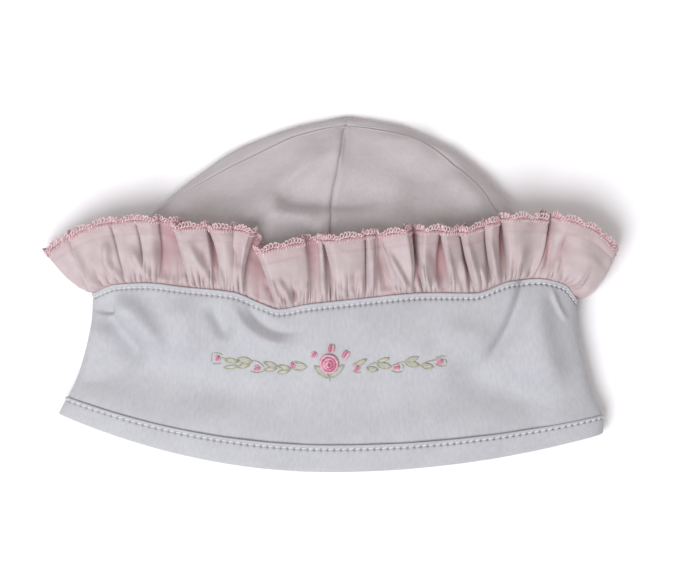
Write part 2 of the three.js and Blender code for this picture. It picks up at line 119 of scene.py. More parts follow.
# The crown's seams as they show from above: points read off the photograph, in its pixels.
LEFT_SEAM = table("x y", [
    (150, 216.5), (175.5, 197.5), (201, 181.5), (239, 160), (265, 147.5), (290, 136.5), (315, 129.5),
    (336, 125), (344, 125),
])
RIGHT_SEAM = table("x y", [
    (345, 125), (381.5, 128.5), (409.5, 138), (440, 152), (466, 174), (481, 189), (500, 214.5),
])
FRONT_SEAM = table("x y", [(344, 125), (340, 158.5), (332, 191.5), (330, 204), (333.5, 231)])
SEAM_LEVELS = [1.45, 1.5, 1.58, 1.66, 1.74, 1.81, 1.86, 1.9, 1.93, 1.955]
POLE_ANGLE = 97  # degrees round the hat, where the three seams meet

# Soft creases, each along a chord from (x0, y0) to (x1, y1) that bows to its left by bend. It falls
# away over the widths left and right of it, and a negative rise is a valley.
CREASES = "x0 y0 x1 y1 bend left right rise"
CUFF_CREASES = table(CREASES, [
    (-80, -3.6, -71, -5, -1.2, 3.6, 1, -1.2), (-76, -6, -63, -21, 0.6, 3.2, 4.5, -1.7),
    (-69, -2.5, -56, -18, 0.6, 4, 4, 1.6), (-49, -4, -47, -20, 0, 5, 5, 0.9),
    (-39, -4, -34, -14, 0, 3.2, 2.6, -1.1), (-31.5, -5.5, -14, -17, -3, 2.2, 3.6, 0.9),
    (-27, -3.5, -11, -12.5, -3, 1.8, 1.6, -0.5), (-100, -17.5, -22, -34, 0, 10, 10, -2.1),
    (-80, -8, -83.5, -25, 0, 8, 3.5, 1.8), (-26, -31, 62, -30, -2, 12, 13, -1.5),
    (-10, -22, 34, -17, 0, 12, 12, 0.7), (36, -13, 52, -15, 0, 5, 6, 0.7),
    (65, 10, 53, -21, 2.2, 4, 2, -1.2), (67, 0, 74, -30, -1.2, 5, 7, 1.3),
    (73, 1, 77.5, -8, -0.5, 1, 0.9, 0.5), (43, -26, 72, -37, 0, 5, 7, -1.3),
])
CROWN_CREASES = table(CREASES, [
    (-1.5, 46, -27, 22, -2.6, 2.4, 6.5, 1.2), (-18, 32.5, 17, 31.5, -1.2, 5, 3.4, -1.5),
    (-19, 26, -4, 24.5, 0, 3, 3, 0.9), (-17.5, 33, -19.5, 24, 1, 1.4, 2.4, 0.6),
    (-40, 27, -10, 45, 0, 7, 8, -1.2), (4.5, 58, 2.5, 42, 0, 1.2, 4, 1),
    (16, 55, 33, 47, 0, 3, 5.5, 0.9), (31, 42, 26, 24, 0, 6, 6, -0.9),
    (40, 39, 51, 28, 0, 4, 4, 0.9),
])
CREASE_STRENGTH = 2.4  # judged

# The folds that show on the ruffle, from the seam out, read off the photograph in its pixels.
# wide is in millimetres and rise too, where a negative one is a valley.
RUFFLE_FOLDS = table("x0 y0 x1 y1 wide rise", [
    (100, 288, 70, 244, 1.2, 0.9), (126, 282, 109, 262, 1, 0.7), (109, 262, 108, 244, 1.2, 0.7),
    (152, 280, 134, 250, 1.3, 0.9), (166, 278, 160, 240, 2, -0.8), (178, 286, 187, 276, 0.9, 0.5),
    (214, 286, 192, 246, 1.3, 0.9), (226, 290, 218, 266, 1.1, 0.7), (206, 280, 204, 250, 2.2, -0.6),
    (240, 266, 238, 246, 1.4, -0.6), (284, 308, 272, 280, 1, 0.9), (278, 304, 268, 284, 0.9, -0.6),
    (294, 306, 280, 280, 1, 0.9), (302, 300, 308, 284, 1.1, 0.7), (298, 304, 294, 288, 0.9, -0.6),
    (324, 296, 322, 276, 1.1, 0.6), (346, 300, 340, 286, 0.9, 0.7), (354, 298, 350, 288, 0.9, 0.6),
    (362, 296, 360, 276, 1.2, 0.7), (357, 284, 354, 272, 1.4, -0.5), (372, 294, 373, 252, 1, 0.7),
    (390, 294, 378, 258, 1.6, -0.8), (409, 292, 388, 254, 1.1, 1), (416, 288, 414, 260, 1, 0.7),
    (429, 292, 418, 262, 1.2, 0.8), (434, 290, 436, 280, 0.9, 0.5), (440, 280, 430, 250, 2, -0.6),
    (454, 288, 443, 250, 1.2, 0.8), (464, 288, 462, 262, 1.1, 0.7), (478, 288, 462, 240, 1.2, 0.8),
    (486, 288, 478, 266, 1.1, 0.6), (496, 284, 487, 240, 1.2, 0.8), (512, 278, 520, 250, 1.3, 0.6),
    (538, 270, 551, 230, 1.3, 0.8), (552, 268, 566, 236, 2.2, -0.8), (550, 272, 557, 258, 1, 0.6),
    (572, 278, 590, 250, 3.5, 0.6),
])

# The ruffle's plates from left to right: where each lies along the free edge and along the cuff,
# how far it stands out, where across it is its peak, how far the cloth turns back under its left and
# its right edge, and how far it bows to the right on its way up.
PLATES = table("free_left free_right base_left base_right height peak left_tuck right_tuck bow", [
    (-94.1, -87.1, -78.2, -75.9, 0.8, 0.6, 0, 0, 0),
    (-86.5, -73.3, -75.2, -67.3, 1.5, 0.3, 0.2, 0.1, 0),
    (-72.6, -64.7, -67, -61.7, 1.3, 0.35, 0.2, 0, 0.3),
    (-64.2, -57.4, -61.4, -56.8, 2, 0.6, 0.2, 0.4, 0.8),
    (-51.5, -40.9, -46.5, -38.3, 5, 0.15, 2.8, 0.2, 0.4),
    (-39.9, -32.3, -36.6, -32.3, 3.6, 0.5, 0.8, 0.2, 1.3),
    (-31.4, -25.1, -31.4, -28.4, 3, 0.75, 0.4, 1, -1.2),
    (-24.1, -8.6, -18.2, -6.6, 6.4, 0.2, 3.4, 0.6, 0.9),
    (-3.6, -2.3, -2.6, -0.7, 1.6, 0.5, 0.2, 0, 0),
    (-2, 11.2, 1.3, 11.2, 5.6, 0.25, 2, 1, 0.5),
    (11.9, 14.5, 11.9, 14.2, 1.8, 0.3, 0.3, 0.2, 0.4),
    (15.2, 16.5, 15.5, 23.8, -1.6, 0.5, 0.3, 0, 0),
    (16.8, 26.7, 24.4, 27.1, 5.2, 0.75, 0.4, 2.4, 0.9),
    (29.7, 36.3, 32, 36.3, 3.8, 0.3, 1, 0.2, -1.1),
    (36.6, 42.6, 39.9, 45.9, 4, 0.2, 1.2, 0.2, 0),
    (43.2, 50.8, 48.2, 52.8, 5.6, 0.2, 3, 0.3, -0.4),
    (51.2, 56.1, 54.1, 56.4, 3.4, 0.4, 0.8, 0.2, -0.4),
    (57.1, 72.6, 58.7, 67, 5, 0.25, 0.6, 2.4, 0.4),
    (74.9, 94.1, 71.6, 80.9, 3.6, 0.2, 0.6, 0, 0.5),
])
BACK_FOLDS = 13
BACK_FOLD_DEPTH = 2.0


def smooth(x, low, high):
    """0 below low, 1 above high, and a smooth step between."""
    t = np.clip((x - low) / (high - low), 0, 1)
    return t * t * (3 - 2 * t)


def hump(x, width):
    """1 where x is 0, falling away smoothly over the width on both sides."""
    return np.exp(-((x / width) ** 2))


def between(values, place):
    """A value of a list, also between two places in it."""
    return np.interp(place, np.arange(len(values)), values)


def distances(path):
    """How far along a path each of its points lies."""
    return np.concatenate([[0], np.cumsum(np.linalg.norm(np.diff(path, axis=0), axis=1))])


def along_path(path, reached, at):
    """Points of a path at those distances, with the distance reached at each of its own points."""
    return np.stack([np.interp(at, reached, column) for column in path.T], axis=-1)


def read(rows, column, at):
    """A column of a table between its rows, along a smooth curve that never passes beyond them."""
    place, value = rows["at"], rows[column]
    rate = np.diff(value) / np.diff(place)
    before, after = rate[:-1], rate[1:]
    same_way = before * after > 0
    inner = np.where(same_way, 2 * before * after / np.where(same_way, before + after, 1), 0)
    slope = np.concatenate([rate[:1], inner, rate[-1:]])
    at = np.clip(at, place[0], place[-1])
    row = np.clip(np.searchsorted(place, at) - 1, 0, len(place) - 2)
    width = np.diff(place)[row]
    t = (at - place[row]) / width
    start = (2 * t**3 - 3 * t**2 + 1) * value[row] + (t**3 - 2 * t**2 + t) * width * slope[row]
    return start + (3 * t**2 - 2 * t**3) * value[row + 1] + (t**3 - t**2) * width * slope[row + 1]


def outline(level):
    """The columns of OUTLINE at a level."""
    return [read(OUTLINE, column, level) for column in list(OUTLINE)[1:]]


def hat_point(angle, level, inset):
    """Points of the hat's shape: angle from the right side fold by way of the front, level up the hat
    and inset from its outer face."""
    angle, level, inset = np.broadcast_arrays(angle, level, inset)
    across, up = np.cos(angle), np.sin(angle)
    left, left_y, right, right_y, middle_y, top, side, floor = outline(level)
    half = (right - left) / 2 - inset
    side_y = np.where(across > 0, right_y, left_y)
    fade = np.where(level < CUFF_TOP, smooth(level, 0.4, 1), 1 - smooth(level, 1, 1.3))
    wave = np.where(up > 0, read(TOP_EDGE, "rise", across) * fade, 0)
    y = middle_y + (side_y - middle_y) * across**2 + wave
    over = side + (top - inset - side) * np.maximum(up, 0) ** SIDE_ROUNDNESS
    under = side - (side - (floor + inset)) * np.sin(np.clip(-up / FLAT_FROM, 0, 1) * np.pi / 2)
    return np.stack([(left + right) / 2 + half * across, y, np.where(up >= 0, over, under)], axis=-1)


def unit(vectors):
    """Vectors with their lengths brought to 1."""
    return vectors / np.maximum(np.linalg.norm(vectors, axis=-1, keepdims=True), 1e-9)


def hat_normal(angle, level):
    """The hat's outward direction."""
    small = 0.004
    round_it = hat_point(angle + small, level, 0) - hat_point(angle - small, level, 0)
    up = hat_point(angle, level + small, 0) - hat_point(angle, level - small, 0)
    return unit(np.cross(up, round_it))


def from_pixel(x, y):
    """The hat's millimetres at a pixel of the photograph."""
    return (x - ORIGIN_PIXEL[0]) * PIXEL, (ORIGIN_PIXEL[1] - y) * PIXEL


def seam_reader(seam, which):
    """A function that gives a seam's degrees round the hat at a level, found where the hat's surface
    lies under the seam."""
    limits = {"left": (POLE_ANGLE, 179), "right": (1, POLE_ANGLE), "front": (70, 110)}[which]
    degrees = np.linspace(*limits, 2000)
    seam_x, seam_y = from_pixel(seam["x"], seam["y"])
    found = []
    for level in SEAM_LEVELS:
        x, y, _ = hat_point(np.radians(degrees), level, CROWN_INSET).T
        if which == "front":
            off = x - np.interp(-y, -seam_y, seam_x)
        else:
            off = y - np.interp(x, seam_x, seam_y)
        found.append(degrees[np.argmin(np.abs(off))])
    angles = {"at": np.array(SEAM_LEVELS + [POLE]), "degrees": np.array(found + [POLE_ANGLE])}
    return lambda level: read(angles, "degrees", level)


def relief(creases, x, y):
    """How far the creases lift the cloth."""
    height = np.zeros_like(x)
    for x0, y0, x1, y1, bend, left, right, rise in zip(*creases.values()):
        length = math.hypot(x1 - x0, y1 - y0)
        ax, ay = (x1 - x0) / length, (y1 - y0) / length
        t = ((x - x0) * ax + (y - y0) * ay) / length
        aside = (y - y0) * ax - (x - x0) * ay - 4 * bend * t * (1 - t)
        ends = smooth(t, -0.2, 0.25) * (1 - smooth(t, 0.75, 1.2))
        height += rise * ends * hump(aside, np.where(aside > 0, left, right))
    return height


def uneven(x, y, size, seed):
    """Gentle unevenness of soft cloth, about 1 high, with swells of about that size."""
    rng = np.random.default_rng(seed)
    height = np.zeros_like(x)
    for _ in range(9):
        turn, phase = rng.uniform(0, 2 * np.pi, 2)
        wave = 2 * np.pi / (size * rng.uniform(0.7, 1.6))
        height += np.sin((x * math.cos(turn) + y * math.sin(turn)) * wave + phase)
    return height / 3


def front_share(angle):
    """1 on the front and 0 on the back, with a smooth step just in front of the side folds."""
    return smooth(np.sin(angle), 0, 0.35)


def jersey_point(creases, angle, level, inset, share=1.0):
    """A point of the hat's jersey with its creases, which only the front has."""
    point = hat_point(angle, level, inset)
    x, y = point[..., 0], point[..., 1]
    lift = CREASE_STRENGTH * relief(creases, x, y) + JERSEY_UNEVEN * uneven(x, y, 17, 5)
    return point + hat_normal(angle, level) * (lift * share * front_share(angle))[..., None]


def ring_angles(level, many):
    """Angles evenly spaced along the cloth, from the middle of the back by way of the left side, and
    the length of the ring."""
    fine = np.linspace(1.5 * np.pi, -0.5 * np.pi, 6001)
    along = distances(hat_point(fine, level, 0))
    return np.interp(np.linspace(0, along[-1], many + 1), along, fine), along[-1]


def make_mesh(name, across, up, place, flat, painted_shade_and_hem_pink=None):
    """A sheet that starts as a flat grid. place(u, v) gives its points, with u and v from 0 to 1, its
    UV map is the flat cloth in millimetres, and the last function, where given, is how far its colour
    changes: painted shade in pits, folds and recesses, painted shadow along the ruffle's seam, and the
    ruffle's deeper pink over its hem."""
    bm = bmesh.new()
    bmesh.ops.create_grid(bm, x_segments=across, y_segments=up, size=0.5)
    mesh = bpy.data.meshes.new(name)
    bm.to_mesh(mesh)
    grid = np.empty(len(mesh.vertices) * 3)
    mesh.vertices.foreach_get("co", grid)
    grid = grid.reshape(-1, 3)[:, :2] + 0.5
    corners = np.empty(len(mesh.loops), int)
    mesh.loops.foreach_get("vertex_index", corners)
    mesh.uv_layers.new(name="cloth").data.foreach_set("uv", (grid * flat)[corners].ravel())
    points = place(grid[:, 0], grid[:, 1]) * MM
    mesh.vertices.foreach_set("co", points.ravel())
    if painted_shade_and_hem_pink:
        shade = mesh.attributes.new("painted_shade_and_hem_pink", "FLOAT", "POINT")
        shade.data.foreach_set("value", painted_shade_and_hem_pink(grid[:, 0], grid[:, 1]))
    bm.clear()
    bm.from_mesh(mesh)
    bmesh.ops.remove_doubles(bm, verts=bm.verts, dist=0.002 * MM)
    bm.to_mesh(mesh)
    bm.free()
    mesh.shade_smooth()
    return mesh


def make_threads(name, paths, radius, material, closed=False, taper=0.0):
    """Lengths of round thread as one mesh. taper thins each length towards its ends."""
    curve = bpy.data.curves.new(name, "CURVE")
    curve.dimensions = "3D"
    curve.bevel_depth = radius * MM
    curve.bevel_resolution = 1
    curve.use_fill_caps = True
    for path in paths:
        path = np.asarray(path)
        spline = curve.splines.new("POLY")
        spline.points.add(len(path) - 1)
        spline.points.foreach_set("co", np.column_stack([path * MM, np.ones(len(path))]).ravel())
        spline.use_cyclic_u = closed
        if taper:
            width = 1 - taper * np.abs(np.linspace(-1, 1, len(path))) ** 3
            spline.points.foreach_set("radius", width)
    holder = bpy.data.objects.new(name, curve)
    mesh = bpy.data.meshes.new_from_object(holder)
    bpy.data.curves.remove(curve)
    mesh.name = name
    mesh.materials.append(material)
    mesh.shade_smooth()
    return mesh


def join_meshes(name, meshes):
    """Several meshes as one, each keeping its own materials."""
    bm = bmesh.new()
    joined = bpy.data.meshes.new(name)
    for mesh in meshes:
        start = len(bm.faces)
        bm.from_mesh(mesh)
        bm.faces.ensure_lookup_table()
        first = len(joined.materials)
        for material in mesh.materials:
            joined.materials.append(material)
        for face in bm.faces[start:]:
            face.material_index += first
    bm.to_mesh(joined)
    bm.free()
    return joined


def put_in_scene(name, data):
    """A new object in the scene for a mesh, a light or a camera."""
    thing = bpy.data.objects.new(name, data)
    bpy.context.scene.collection.objects.link(thing)
    return thing


def add_piece(name, mesh, slot, *nodes, material=None):
    """Puts a finished mesh in the scene, riding on the hat and standing for its nodes."""
    if material:
        mesh.materials.append(material)
    thing = put_in_scene(name, mesh)
    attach(thing, "root")
    if nodes:
        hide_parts(*nodes)
    return thing


def thicken(thing, thickness, offset):
    """Gives a sheet its wall: offset 0 puts half on each side of it, and -1 all of it inside."""
    wall = thing.modifiers.new("wall", "SOLIDIFY")
    wall.thickness = thickness * MM
    wall.offset = offset


# Materials

def colour(hex_code):
    """An sRGB hex code as linear red, green, blue and alpha."""
    parts = [int(hex_code[i:i + 2], 16) / 255 for i in (1, 3, 5)]
    return [p / 12.92 if p <= 0.04045 else ((p + 0.055) / 1.055) ** 2.4 for p in parts] + [1]


def fill(tree, node, inputs):
    """Gives a node its values and its links."""
    for key, value in inputs.items():
        if isinstance(value, bpy.types.NodeSocket):
            tree.links.new(value, node.inputs[key])
        else:
            node.inputs[key].default_value = value


def add_node(tree, kind, inputs, **settings):
    """Adds a node with its settings, its values and its links."""
    node = tree.nodes.new("ShaderNode" + kind)
    for key, value in settings.items():
        setattr(node, key, value)
    fill(tree, node, inputs)
    return node


def new_material(name, roughness, sheen, sheen_tint):
    """A cloth, thread or card material with its constant values, and its tree."""
    material = bpy.data.materials.new(name)
    material.use_nodes = True
    tree = material.node_tree
    fill(tree, tree.nodes["Principled BSDF"], {
        "Roughness": roughness, "Sheen Weight": sheen, "Sheen Roughness": 0.45,
        "Sheen Tint": colour(sheen_tint), "Specular IOR Level": 0.3})
    return material, tree


def surface(tree, base, height, strength, depth):
    """Gives a material its colour, and its fine relief as a bump that many millimetres deep."""
    bump = add_node(tree, "Bump", {"Height": height, "Strength": strength, "Distance": depth * MM})
    fill(tree, tree.nodes["Principled BSDF"], {"Base Color": base, "Normal": bump.outputs["Normal"]})


def ridges(tree, cloth, spacing, direction, distortion, detail, detail_scale=1.0):
    """Soft ridges across the cloth, that many millimetres apart and a little out of true."""
    inputs = {"Vector": cloth, "Scale": 2 * np.pi / 20 / spacing, "Distortion": distortion,
              "Detail": detail, "Detail Scale": detail_scale}
    return add_node(tree, "TexWave", inputs, wave_type="BANDS", bands_direction=direction,
                    wave_profile="SIN").outputs["Fac"]


def noise(tree, where, scale, detail):
    """Soft patches of noise, each about 1 / scale wide."""
    inputs = {"Vector": where, "Scale": scale, "Detail": detail}
    return add_node(tree, "TexNoise", inputs).outputs["Fac"]


def mottled(tree, where, scale, low, high, detail=3.0, grain=0.0):
    """A colour that drifts between two, with patches 1 / scale wide and a grain 1 / grain wide."""
    share = noise(tree, where, scale, detail)
    if grain:
        upright = add_node(tree, "Mapping", {"Vector": where, "Scale": (1, 0.4, 1)}).outputs["Vector"]
        fine = noise(tree, upright, grain, 2.0)
        share = add_node(tree, "Mix", {0: 0.55, 2: share, 3: fine}).outputs[0]
    ramp = add_node(tree, "ValToRGB", {"Fac": share})
    for element, place, code in zip(ramp.color_ramp.elements, (0.35, 0.65), (low, high)):
        element.position = place
        element.color = colour(code)
    return ramp.outputs["Color"]


def tinted(tree, base, painted_shade_and_hem_pink):
    """A colour that changes to another where the mesh's colour attribute says so: painted shade, and the
    ruffle's deeper pink over its hem.
    """
    share = add_node(tree, "Attribute", {}, attribute_name="painted_shade_and_hem_pink").outputs["Fac"]
    mix = add_node(tree, "Mix", {0: share, 6: base, 7: colour(painted_shade_and_hem_pink)}, data_type="RGBA")
    return mix.outputs[2]


def jersey_material(name, low, high, hole_shade):
    """Cotton interlock, knitted: soft upright wales, matt and a little downy."""
    material, tree = new_material(name, 0.9, 0.25, "#ffffff")
    cloth = add_node(tree, "UVMap", {}, uv_map="cloth").outputs["UV"]
    # Painted shade: the colour turns darker where the mesh marks a needle hole.
    base = tinted(tree, mottled(tree, cloth, 0.09, low, high, grain=1.1), hole_shade)
    wales = ridges(tree, cloth, WALE_SPACING, "X", 1.5, 2.0, 0.8)
    down = noise(tree, cloth, 1.6, 4.0)
    knit = add_node(tree, "Math", {0: wales, 1: 0.35, 2: down}, operation="MULTIPLY_ADD")
    surface(tree, base, knit.outputs[0], 0.3, 0.1)
    return material


def batiste_material():
    """Cotton batiste, plain woven and pressed: a fine even weave with a faint silky sheen."""
    material, tree = new_material("pink_cotton_batiste", 0.75, 0.35, "#fff4f4")
    cloth = add_node(tree, "UVMap", {}, uv_map="cloth").outputs["UV"]
    # The second colour is painted shade in the folds and recesses, painted shadow along the seam, and the
    # deeper pink over the hem.
    base = tinted(tree, mottled(tree, cloth, 0.25, "#bdafaf", "#c8bab9"), "#b58387")
    heights = [ridges(tree, cloth, WEAVE_SPACING, direction, 0.8, 1.0) for direction in ("X", "Y")]
    weave = add_node(tree, "Math", {0: heights[0], 1: heights[1]}, operation="ADD")
    surface(tree, base, weave.outputs[0], 0.2, 0.05)
    return material


def thread_material(name, low, high, roughness=0.6, sheen=0.3):
    """Twisted cotton thread: strands show as a fine ripple, and the colour drifts along it."""
    material, tree = new_material(name, roughness, sheen, "#ffffff")
    where = add_node(tree, "TexCoord", {}).outputs["Object"]
    base = mottled(tree, where, 900.0, low, high, 2.0)
    surface(tree, base, noise(tree, where, 4500.0, 2.0), 0.5, 0.08)
    return material


# Each jersey's last colour is painted shade for its needle holes.
jersey = jersey_material("white_cotton_interlock", "#b4b5b8", "#c0c1c3", "#808085")
# The crown's copy of the same jersey is warmer and a little darker: painted pink bounce light from the
# ruffle, and painted shade.
crown_jersey_painted_bounce_and_shade = jersey_material("white_cotton_interlock_crown_painted_bounce_and_shade", "#b8b2b2", "#c2bcbc", "#808085")
batiste = batiste_material()
lace_pale = thread_material("pale_pink_crochet_cotton", "#cba2a6", "#e4d2d3")
# A darker copy of the same crochet cotton: painted shade, for where shadow lies under the loops.
lace_painted_shade = thread_material("pink_crochet_cotton_painted_shade", "#bf858b", "#cd9b9f")
sewing_thread = thread_material("white_sewing_thread", "#cacbce", "#d6d7d9", 0.5)
floss_deep = thread_material("rose_stranded_floss", "#b1426b", "#c66389", 0.4)
floss_mid = thread_material("pink_stranded_floss", "#cf7f98", "#da97aa", 0.4)
floss_pale = thread_material("pale_pink_stranded_floss", "#dca9b6", "#e5bfc8", 0.4)
floss_olive = thread_material("olive_stranded_floss", "#98987c", "#b0af95", 0.45)
floss_leaf = thread_material("pale_green_stranded_floss", "#bfbfb2", "#cccbc1", 0.45)


# The cuff

# Sections through a rim, as the level and inset of each corner and the rows of faces to the next.
CUFF_SECTION = table("level inset rows", [
    (0.118, 1.35, 2), (0.134, 0.85, 2), (0.15, 0.32, 2), (0.168, 0.06, 2), (0.195, 0, 86),
    (0.945, 0, 2), (0.963, 0.05, 2), (0.972, 0.35, 2), (0.981, 0, 2), (0.992, -0.45, 2),
    (1.001, -0.6, 2), (1.006, 0, 2), (1.004, 1, 2), (0.98, 1.5, 2), (0.9, 1.55, 12), (0.2, 1.55, 2),
    (0.118, 1.55, 2), (0.118, 1.35, 0),
])
HEM_SECTION = table("level inset rows", [
    (0.128, 3.1, 2), (0.126, 1.4, 2), (0.14, 0.8, 2), (0.154, 0.2, 2), (0.159, -0.2, 2),
    (0.157, -0.6, 2), (0.153, -0.75, 3), (0.144, -0.55, 2), (0.132, 0.15, 2), (0.123, -0.1, 3),
    (0.105, -0.12, 6), (0.05, 0, 4), (0.02, 0.12, 3), (0.005, 0.5, 3), (0, 1.1, 3),
    (0, 2.1, 3), (0.006, 2.75, 3), (0.022, 3.1, 3), (0.06, 3.2, 4), (0.12, 3.2, 2), (0.128, 3.1, 0),
])
STITCH_COLUMNS = 4  # columns of faces to a stitch, so that each needle hole has a dimple
DIMPLE = 0.55  # how deep the cloth sinks at a needle hole
CUFF_STITCH_LEVEL = 0.973
HEM_STITCH_LEVEL = 0.131
CUFF_CREASED = 1.0  # how much of the cuff's creases it has, as a share
HEM_CREASED = 0.5


def section_reader(section):
    """Functions of v that give the level and the inset round a closed section, and its rows."""
    at = np.concatenate([[0], np.cumsum(section["rows"][:-1])])
    rows = int(at[-1])
    section = dict(section, at=at)
    return (lambda v: read(section, "level", v * rows)), (lambda v: read(section, "inset", v * rows)), rows


def needle_holes(column, level, seam):
    """1 at each needle hole along a stitched seam, and 0 away from them."""
    hole = np.where(np.round(column).astype(int) % STITCH_COLUMNS == 0, 1.0, 0.0)
    return hole * hump(level - seam + 0.003, 0.009)


def add_rim(name, node, section, stitch_level, stitch, creased):
    """Adds a ring of jersey with a closed section, dimpled along its row of stitches, with painted shade
    in each dimple. Returns it and the number of stitches."""
    level_at, inset_at, rows = section_reader(section)
    _, length = ring_angles(stitch_level, 1)
    stitches = round(length / stitch)
    columns = stitches * STITCH_COLUMNS
    angles, _ = ring_angles(stitch_level, columns)

    # Where the needle holes are: it dimples the cloth, and it also paints shade into each hole.
    def hole(u, v):
        return needle_holes(u * columns, level_at(v), stitch_level) * (inset_at(v) < 0.9)

    def place(u, v):
        angle = between(angles, u * columns)
        inset = inset_at(v) + DIMPLE * hole(u, v)
        inset = np.where(np.sin(angle) < 0, np.maximum(inset, 0), inset)
        return jersey_point(CUFF_CREASES, angle, level_at(v), inset, creased)

    mesh = make_mesh(name, columns, rows, place, (length, length * rows / columns), hole)
    return add_piece(name, mesh, "white_jersey", node, material=jersey), stitches


cuff, cuff_stitches = add_rim("cuff_cloth", "cuff", CUFF_SECTION, CUFF_STITCH_LEVEL, CUFF_STITCH,
                              CUFF_CREASED)
hem, hem_stitches = add_rim("hem_cloth", "hem_band", HEM_SECTION, HEM_STITCH_LEVEL, HEM_STITCH,
                            HEM_CREASED)


def add_stitches(name, seam, inset, stitches, long_share, radius, creased):
    """Adds a row of topstitching: a short arched thread between each pair of needle holes."""
    level = seam + STITCH_SHIFT
    angles, _ = ring_angles(level, stitches * STITCH_COLUMNS)
    ends = np.linspace(-1, 1, 7)
    slant = ends * STITCH_SLANT
    arch = STITCH_ARCH * np.cos(ends * np.pi / 2) ** 0.6
    paths = []
    for k in range(stitches):
        angle = between(angles, (k + 0.5 + np.linspace(-0.5, 0.5, 7) * long_share) * STITCH_COLUMNS)
        point = jersey_point(CUFF_CREASES, angle, level + slant, inset, creased)
        path = point + hat_normal(angle, level) * (arch - STITCH_SUNK)[:, None]
        path[:, 2] = np.maximum(path[:, 2], STITCH_THREAD)
        paths.append(path)
    return add_piece(name, make_threads(name, paths, radius, sewing_thread, taper=0.35), "white_jersey")


sewn_on = [add_stitches("cuff_topstitching", CUFF_STITCH_LEVEL, 0.15, cuff_stitches, 0.72, 0.32,
                        CUFF_CREASED)]
hem_sewing = add_stitches("hem_topstitching", HEM_STITCH_LEVEL, -0.1, hem_stitches, 0.75,
                          STITCH_THREAD, HEM_CREASED)


# The crown

GORE_COLUMNS = 60
GORE_ROWS = 118
GORE_LEVELS = {"share": [0, 0.12, 0.72, 1.0], "level": [0.135, 0.95, 1.8, TIP]}
CROWDING = 0.8  # how far a gore's columns draw together at its seams
NARROWEST = 6  # millimetres to a radian, for the width where a gore closes
ROLL_WIDTH = 0.36
RIDGE_SHARE = 0.5  # how high the ridge beside a roll is, as a share of the roll's depth
RIDGE_ASIDE = 1.5
RIDGE_WIDTH = 0.9


def gore_mesh(name, left_seam, right_seam, top, left_roll, right_roll):
    """One gore of the crown between two seams, given in degrees at each level. The cloth rolls down
    into each seam so deep, beside a soft ridge where the seam's allowance lies under it."""
    levels = np.interp(np.linspace(0, 1, GORE_ROWS + 1), GORE_LEVELS["share"], GORE_LEVELS["level"])
    levels = levels[0] + (levels - levels[0]) * (top - levels[0]) / (levels[-1] - levels[0])

    def place(u, v):
        level = between(levels, v * GORE_ROWS)
        share = u - CROWDING * np.sin(2 * np.pi * u) / (2 * np.pi)
        left, right = np.radians(left_seam(level)), np.radians(right_seam(level))
        width = np.linalg.norm(hat_point(left, level, CROWN_INSET)
                               - hat_point(right, level, CROWN_INSET), axis=-1)
        width = np.maximum(width, np.abs(left - right) * NARROWEST)
        aside = np.minimum(share, 1 - share) * width
        seam = smooth(width, 0, 10) * smooth(level, 0.9, 1.05)
        deep = np.where(share < 0.5, left_roll, right_roll)
        roll = hump(aside, ROLL_WIDTH) - RIDGE_SHARE * hump(aside - RIDGE_ASIDE, RIDGE_WIDTH)
        inset = CROWN_INSET + deep * roll * seam
        angle = left + (right - left) * share
        creased = smooth(level, 1.0, 1.3) * (1 - smooth(level, 1.88, 1.965))
        point = jersey_point(CROWN_CREASES, angle, level, inset, creased)
        under_cuff = (1 - smooth(level, 1.0, 1.15)) * front_share(angle)
        lift = CREASE_STRENGTH * relief(CUFF_CREASES, point[:, 0], point[:, 1])
        valley = np.minimum(lift - UNDER_CUFF_ROOM, 0)
        point = point + hat_normal(angle, level) * (valley * under_cuff)[:, None]
        middle = hat_point(np.pi / 2, level, CROWN_INSET + CROWN_CLOTH / 2)
        lower = hat_point(-np.pi / 2, level, CROWN_INSET + CROWN_CLOTH / 2)
        middle[:, 2] = (middle[:, 2] + lower[:, 2]) / 2
        closing = smooth(level, 1.985, TIP)[:, None] * [0, 0, 1]
        point = point + (middle - point) * closing
        point[:, 2] = np.maximum(point[:, 2], 0)
        return point

    return make_mesh(name, GORE_COLUMNS, GORE_ROWS, place, (85, 115))


left_side = seam_reader(LEFT_SEAM, "left")
right_side = seam_reader(RIGHT_SEAM, "right")
front_middle = seam_reader(FRONT_SEAM, "front")
# Gores: node, the seams at its left and right, its top, and how deep the cloth rolls into each seam.
GORES = [
    ("crown_front_left", left_side, front_middle, POLE, 0.5, 0.7),
    ("crown_front_right", front_middle, right_side, POLE, 0.7, 0.5),
    ("crown_back_left", lambda level: np.full_like(level, 270.0), left_side, TIP, 0.5, 0.3),
    ("crown_back_right", right_side, lambda level: np.full_like(level, -90.0), TIP, 0.3, 0.5),
]
for node, *shape in GORES:
    name = node + "_cloth"
    gore = add_piece(name, gore_mesh(name, *shape), "white_jersey", node, material=crown_jersey_painted_bounce_and_shade)
    thicken(gore, CROWN_CLOTH, -1)


# The ruffle

FRONT_COLUMNS = 880
TURN_COLUMNS = 14
BACK_COLUMNS = 234


def smooth_curve(points, many):
    """Points evenly spaced along a smooth curve through the ones given, in any number of columns."""
    held = np.concatenate([2 * points[:1] - points[1:2], points, 2 * points[-1:] - points[-2:-1]])
    t = np.linspace(0, 1, 9)[:-1, None]
    parts = []
    for a, b, c, d in zip(held, held[1:], held[2:], held[3:]):
        parts.append(0.5 * (2 * b + (c - a) * t + (2 * a - 5 * b + 4 * c - d) * t**2
                            + (3 * b - a - 3 * c + d) * t**3))
    fine = np.concatenate(parts + [points[-1:]])
    along = distances(fine[:, :2])
    return along_path(fine, along, np.linspace(0, along[-1], many))


